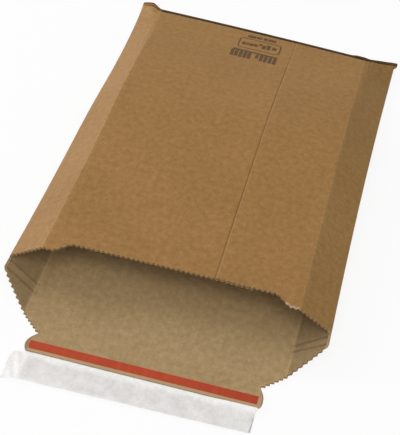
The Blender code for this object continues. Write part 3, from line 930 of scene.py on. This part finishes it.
def outside_marks(n, flat, tint, normal, grain):
    """The seam's painted shadow and highlight, pale folds with painted highlights, painted sheen
    and shade on the side strips, and the print.
    """
    s, y = n.parts(flat)
    uneven = n.plus(s, n.swing(grain, 1.1))
    seam_left = MM * UPPER_LEFT_S[SEAM_COLUMN]
    seam_right = MM * UPPER_RIGHT_S[SEAM_COLUMN + 1]
    # A painted shadow left of the seam's step, and a painted highlight on the lap's raised edge
    seam_shadow = n.line(uneven, seam_left + 0.05, 0.35, 0.80)
    seam_shadow = n.times(seam_shadow, n.ramp(y, END_MM - 52.0, END_MM - 44.0, 0.46, 0.24))
    tint = n.mix(seam_shadow, tint, SEAM_SHADE)
    lip_highlight = n.line(uneven, seam_right - 0.45, 0.20, 0.4)
    tint = n.mix(n.times(lip_highlight, 0.18), tint, PALE_WEAR_AND_HIGHLIGHT)
    # Patchy pale lines along the creases and side folds: rubbed wear, and a painted highlight on
    # their rounding
    fold_patches = n.ramp(grain, 0.42, 0.66, 0.0, 0.12)
    for column, width in ((LEFT_CREASE, 0.9), (RIGHT_CREASE, 0.9), (0, 1.2)):
        for run in (UPPER_LEFT_S, UPPER_RIGHT_S):
            fold = n.line(uneven, MM * run[column], width, 1.2)
            tint = n.mix(n.times(fold, fold_patches), tint, PALE_WEAR_AND_HIGHLIGHT)
    # Towards the closed end the side strips keep their slant and show soft creases
    out = n.larger(n.minus(STRIP_CREASE_MM, n.math("ABSOLUTE", s)), 0.0)
    slant = n.ramp(y, STAMP_Y - 60.0, STAMP_Y + 24.0, 0.0, -STRIP_SLANT / MM)
    normal = n.bump(n.times(out, slant), 1.0, normal)
    turned = n.mapped(flat, Rotation=(0.0, 0.0, 0.7), Scale=(0.20, 0.05, 1.0))
    soft = n.times(n.ramp(out, 0.0, 4.0), n.ramp(y, STAMP_Y - 100.0, STAMP_Y - 10.0))
    normal = n.bump(n.times(n.noise(turned, 0.8, 1.0), soft), 0.0010, normal)
    on_strips = n.ramp(out, 0.0, 0.8)
    left = n.times(on_strips, n.math("LESS_THAN", s, 0.0))
    right = n.times(on_strips, n.math("GREATER_THAN", s, 0.0))
    # The outer side strips get painted light: a sheen on the left one and shade on the right one
    tint = n.mix(left, tint, n.tinted(tint, LEFT_STRIP_SHEEN))
    tint = n.mix(right, tint, n.tinted(tint, RIGHT_STRIP_SHADE))
    # At the closed end a painted highlight makes the left strip paler, and painted shade makes all
    # the rest darker
    tint = n.mix(left, tint, n.scaled(tint, n.ramp(y, END_MM - 22.0, END_MM - 6.0, 1.0, 1.19)))
    tint = n.mix(left, n.scaled(tint, n.ramp(y, END_MM - 10.0, END_MM - 2.0, 1.0, 0.90)), tint)
    worn_ink = n.times(stamp(n, s, y), n.ramp(grain, 0.30, 0.55, 0.55, 0.80))
    return n.mix(worn_ink, tint, INK), normal


def stamp(n, s, y):
    """A mask of the print: a rounded frame and plain bars. It stands for no words."""
    u, v = n.minus(s, STAMP_S), n.minus(y, STAMP_Y)

    def past(value, middle, half):
        return n.larger(n.minus(n.distance(value, middle), half), 0.0)

    def bar(mid_u, mid_v, half_u, half_v, radius=BAR_RADIUS):
        """Distance from the edge of a rounded bar, below 0 inside it."""
        qu, qv = past(u, mid_u, half_u - radius), past(v, mid_v, half_v - radius)
        return n.minus(n.math("SQRT", n.plus(n.times(qu, qu), n.times(qv, qv))), radius)

    frame_line = n.math("ABSOLUTE", bar(*STAMP_FRAME, FRAME_RADIUS))
    mask = n.ramp(frame_line, 0.35, 0.75, 1.0, 0.0)
    for sizes in STAMP_BARS:
        mask = n.larger(mask, n.ramp(bar(*sizes), 0.0, 0.5, 1.0, 0.0))
    return mask


def inside_marks(n, flat, tint, normal, grain):
    """Faint ribs of the flutes, score lines and side strips with painted shade, and the flap's
    paler end with a painted-shade rim.
    """
    s, y = n.parts(flat)
    off_middle = n.math("ABSOLUTE", s)
    ribs = n.math("SINE", n.times(s, 2.0 * math.pi / FLUTE_MM))
    tint = n.scaled(tint, n.plus(1.0, n.times(ribs, 0.012)))
    wander = n.swing(grain, 0.9)
    # Two score lines slant across each side strip, from the side fold, where inwards is 0, to
    # the floor's crease, where it is 1
    inwards = n.minus(1.0, n.times(n.minus(off_middle, FLOOR_CREASE_MM), 1.0 / STRIP_MM))
    inwards = n.math("MINIMUM", inwards, 1.0)
    lean = n.times(inwards, 5.2)
    lean_last = n.times(inwards, n.ramp(s, -1.0, 1.0, 5.5, 3.2))
    first = n.line(n.plus(n.plus(y, wander), lean), -2.0, 0.4, 1.2)
    last = n.line(n.plus(n.plus(y, wander), lean_last), -SPINE_MM, 0.4, 1.2)
    on_strips = n.ramp(off_middle, FLOOR_CREASE_MM - 2.5, FLOOR_CREASE_MM)
    # The score lines get painted shade of their wrinkles, and are pressed in by the bump below
    scores = n.times(n.larger(first, last), n.times(on_strips, 0.36))
    tint = n.mix(scores, tint, PAINTED_SHADE)
    # Between the two the board is paler, most at the side fold
    band = n.line(n.plus(y, lean_last), -0.5 * SPINE_MM - 1.4, 0.8, 2.0)
    band = n.times(band, n.minus(on_strips, n.larger(inwards, 0.0)))
    tint = n.mix(n.times(n.larger(band, 0.0), 0.30), tint, PALE_WEAR_AND_HIGHLIGHT)
    # The side strips get painted shade, and their creases to the floor are paler
    strip_shade = n.ramp(off_middle, FLOOR_CREASE_MM, FLOOR_CREASE_MM + 3.0, 0.0, 0.32)
    tint = n.mix(strip_shade, tint, PAINTED_SHADE)
    crease = n.line(n.math("ABSOLUTE", n.plus(s, wander)), FLOOR_CREASE_MM, 0.3, 0.8)
    tint = n.mix(n.times(crease, 0.35), tint, PALE_WEAR_AND_HIGHLIGHT)
    # From the tear strip outwards the flap is paler, and its rounded ends get painted shade at
    # their rim
    flap = n.ramp(y, TEAR_STRIP_MM - 0.6, TEAR_STRIP_MM + 0.6, 1.0, 0.0)
    tint = n.mix(n.times(flap, 0.7), tint, FLAP_TOP)
    rounded = n.ramp(y, -NECK_MM - 3.0, -NECK_MM, 0.45, 0.0)
    rim = n.ramp(off_middle, FLARE_MM - 1.6, FLARE_MM)
    tint = n.mix(n.times(rim, rounded), tint, PAINTED_SHADE)
    height = n.minus(n.times(ribs, 0.06), n.times(scores, 2.0))
    return tint, n.bump(height, 0.0002, normal)


def edge_material():
    """The cut edge: two liners with the wavy flute between them, and painted shade in the hollows.
    """
    n = material_nodes("kraft_cut_edge")
    sheet = n.sheet()
    along, across = n.parts(sheet)
    wave = n.math("SINE", n.times(along, 2.0 * math.pi / TOOTH_PITCH))
    middle = n.plus(0.5, n.times(wave, 0.24))
    flute = n.ramp(n.distance(across, middle), 0.07, 0.13, 1.0, 0.0)
    solid = n.larger(flute, n.ramp(n.distance(across, 0.5), 0.30, 0.34))
    fuzz = n.noise(n.stretch(sheet, 1500.0, 3.0), 1.0, 3.0, 0.7)
    # The hollows between the flute and the liners are painted dark, as painted shade
    tint = n.mix(solid, colour(122, 95, 60), colour(184, 149, 102))
    x, y = n.parts(n.spot())
    # The edge is paler at the right side fold, and along the flap's end it is painted lighter, as
    # painted light for the little light that its upright face gets
    corner = n.ramp(x, BODY_HIGH.x - 0.0065, BODY_HIGH.x - 0.0045, 0.0, 0.36)
    tint = n.mix(n.times(corner, n.math("LESS_THAN", y, 0.0)), tint, TORN)
    tint = n.mix(n.ramp(y, BODY_LOW.y + 0.001, BODY_LOW.y + 0.003, 0.9, 0.0), tint, LIT_FLAP_RIM)
    tint = n.scaled(tint, n.ramp(fuzz, 0.3, 0.7, 0.86, 1.12))
    torn = n.times(n.ramp(n.wear(), 0.3, 0.7), n.ramp(fuzz, 0.42, 0.55, 0.2, 1.0))
    return n.surface(n.mix(torn, tint, TORN), 0.9, n.bump(solid, 0.0003))


def ridge_shade_material():
    """The fold that shuts the far end, painted dark as the shade in and behind it, with a grainy
    tone.
    """
    n = material_nodes("kraft_end_fold_shade")
    grain = n.noise(n.stretch(n.flat(), 0.5, 2.0), 1.2, 4.0, 0.7)
    tint = n.mix(n.ramp(grain, 0.3, 0.72), colour(64, 50, 32), colour(104, 82, 54))
    return n.surface(tint, 0.88, n.bump(grain, 0.0002), 0.2)


def red_film():
    """A dull red film, streaked along its length and darker towards its right end."""
    n = material_nodes("red_tear_film")
    spot = n.spot_mm()
    streak = n.noise(n.stretch(spot, 0.9, 0.15), 0.35, 3.0, 0.6)
    cloud = n.noise(spot, 0.06, 2.0)
    tint = n.mix(n.ramp(streak, 0.25, 0.75), colour(170, 60, 30), colour(186, 72, 38))
    tint = n.mix(n.ramp(cloud, 0.35, 0.65, 0.0, 0.5), tint, colour(172, 62, 33))
    tint = n.scaled(tint, n.ramp(n.parts(spot)[0], 10.0, TAPE_HALF_MM, 1.03, 0.93))
    return n.surface(tint, n.ramp(streak, 0.3, 0.7, 0.5, 0.62), n.bump(streak, 0.00012), 0.3)


def tape_film():
    """The sticky film under the liner."""
    n = material_nodes("adhesive_film")
    cloud = n.noise(n.spot_mm(), 0.3, 3.0)
    tint = n.mix(n.ramp(cloud, 0.3, 0.7), colour(200, 198, 190), colour(222, 220, 214))
    return n.surface(tint, n.ramp(cloud, 0.3, 0.7, 0.3, 0.42), n.bump(cloud, 0.0001))


def liner_paper():
    """Silicone paper: white at its long edges, greyer where the tape shows through."""
    n = material_nodes("release_paper")
    spot = n.spot_mm()
    x, y = n.parts(spot)
    cloud = n.noise(spot, 0.10, 3.0, 0.5)
    fine = n.noise(spot, 0.7, 4.0, 0.6)
    middle = 0.5 * MM * (LINER_LOW.y + LINER_HIGH.y)
    half = 0.5 * MM * (LINER_HIGH.y - LINER_LOW.y)
    off_middle = n.distance(n.plus(y, n.times(cloud, 3.0)), middle + 1.5)
    over_tape = n.times(n.ramp(off_middle, 0.50 * half, 0.92 * half, 1.0, 0.0),
                        n.ramp(x, -TAPE_HALF_MM - 1.0, -TAPE_HALF_MM + 2.0))
    grey = n.times(over_tape, n.ramp(cloud, 0.30, 0.70, 1.0, 0.45))
    tint = n.mix(grey, colour(251, 249, 246), colour(225, 222, 219))
    tint = n.scaled(tint, n.ramp(fine, 0.3, 0.7, 0.95, 1.02))
    tint = n.scaled(tint, n.ramp(n.noise(spot, 0.30, 3.0, 0.6), 0.3, 0.7, 0.945, 1.02))
    normal = n.bump(n.plus(cloud, n.times(fine, 0.2)), 0.0004)
    return n.surface(tint, n.ramp(cloud, 0.3, 0.7, 0.45, 0.6), normal)


# Surroundings
FLOOR_HALF = 6.0
FLOOR_DROP = 0.0001  # how far the floor lies under the envelope
FLOOR_TINT = (0.98, 0.98, 0.98, 1.0)
FLOOR_GLOW = 0.86    # share of plain white in what the floor shows
AMBIENT = 0.44       # the world's strength as light

# Soft lamps: name, azimuth and elevation in degrees, size, and the light on a surface that
# faces them, where 1 is white. Azimuth 0 is behind the envelope, 90 at its left
LAMP_DISTANCE = 2.0
LAMPS = (("key", 70.0, 20.0, 1.2, 0.60), ("front", 188.0, 50.0, 1.6, 0.41))

# The photograph's view, found from the envelope's edges and sizes
VIEW_YAW, VIEW_DOWN, VIEW_ROLL = -9.012, 44.132, 6.871
VIEW_FROM = (0.09804, MOUTH_Y - 0.53194, 0.60633)
VIEW_LENS = 107.41
VIEW_SENSOR = 36.0


def seen_ray(n):
    """1 for the rays that show the background, 0 for those that only light the object."""
    path = n.node("ShaderNodeLightPath")
    seen = n.larger(path.outputs["Is Camera Ray"], path.outputs["Is Glossy Ray"])
    return n.larger(seen, path.outputs["Is Transmission Ray"])


def pale_floor():
    """A pale floor that keeps a soft shadow."""
    n = material_nodes("pale_floor")
    n.surface(FLOOR_TINT, 0.9, specular=0.0)
    shader = n.tree.nodes["Principled BSDF"]
    glow = n.node("ShaderNodeEmission", Color=WHITE, Strength=1.0)
    mixed = n.node("ShaderNodeMixShader", Fac=n.times(seen_ray(n), FLOOR_GLOW),
                   in1=shader.outputs[0], in2=glow.outputs[0])
    n.put(n.tree.nodes["Material Output"].inputs["Surface"], mixed.outputs[0])
    mesh = bpy.data.meshes.new("floor")
    corners = [(x * FLOOR_HALF, y * FLOOR_HALF, 0) for x, y in ((-1, -1), (1, -1), (1, 1), (-1, 1))]
    mesh.from_pydata(corners, [], [(0, 1, 2, 3)])
    mesh.materials.append(n.owner)
    floor = add_object("floor", mesh)
    floor.location.z = -FLOOR_DROP


def white_world():
    """A white surround that lights the envelope at a plain level."""
    n = Nodes(bpy.data.worlds.new("soft_white"))
    bpy.context.scene.world = n.owner
    light = n.node("ShaderNodeMix", {"data_type": "FLOAT"}, in0=seen_ray(n), in2=AMBIENT, in3=1.0)
    back = n.tree.nodes["Background"]
    n.put(back.inputs["Strength"], light.outputs[0])
    n.put(back.inputs["Color"], WHITE)


def area_light(name, azimuth, elevation, size, share):
    """A soft lamp that looks at the envelope."""
    a, e = math.radians(azimuth), math.radians(elevation)
    place_at = Vector((-math.sin(a) * math.cos(e), math.cos(a) * math.cos(e), math.sin(e)))
    lamp = bpy.data.lights.new(name, "AREA")
    lamp.shape = "DISK"
    lamp.size = size
    lamp.energy = share * (math.pi * LAMP_DISTANCE) ** 2
    obj = add_object(name, lamp)
    obj.location = place_at * LAMP_DISTANCE
    obj.rotation_mode = "QUATERNION"
    obj.rotation_quaternion = (-place_at).to_track_quat("-Z", "Y")


def camera():
    """The camera, turned by its yaw, tilted down, and then rolled about its own axis."""
    yaw, down, roll = (math.radians(a) for a in (VIEW_YAW, VIEW_DOWN, VIEW_ROLL))
    forward = Vector((math.sin(yaw) * math.cos(down), math.cos(yaw) * math.cos(down),
                      -math.sin(down)))
    right = forward.cross(Vector((0.0, 0.0, 1.0))).normalized()
    up = right.cross(forward)
    rolled_right = math.cos(roll) * right + math.sin(roll) * up
    rolled_up = -math.sin(roll) * right + math.cos(roll) * up
    data = bpy.data.cameras.new("camera")
    data.sensor_width = VIEW_SENSOR
    data.lens = VIEW_LENS
    data.clip_start, data.clip_end = 0.05, 20.0
    axes = Matrix((rolled_right, rolled_up, -forward)).transposed()
    obj = add_object("camera", data)
    obj.rotation_mode = "QUATERNION"
    obj.rotation_quaternion = axes.to_quaternion()
    obj.location = VIEW_FROM
    bpy.context.scene.camera = obj


# The dressed envelope
body = build_body()
outside = kraft("kraft_outside", OUTER_PAPER, 0.72, outside_marks)
inside = kraft("kraft_inside", INNER_PAPER, 0.8, inside_marks)
for made in (outside, inside, edge_material(), ridge_shade_material()):
    body.data.materials.append(made)
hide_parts("envelope_body")
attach(body, "root")

liner = build_liner()
liner.data.materials.append(liner_paper())
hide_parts("release_liner")
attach(liner, "root")

for node, made in (("tear_strip", red_film()), ("closure_tape", tape_film())):
    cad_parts[node].data.materials.clear()
    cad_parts[node].data.materials.append(made)

pale_floor()
white_world()
for lamp_values in LAMPS:
    area_light(*lamp_values)
camera()

bpy.context.scene.view_settings.view_transform = "Standard"
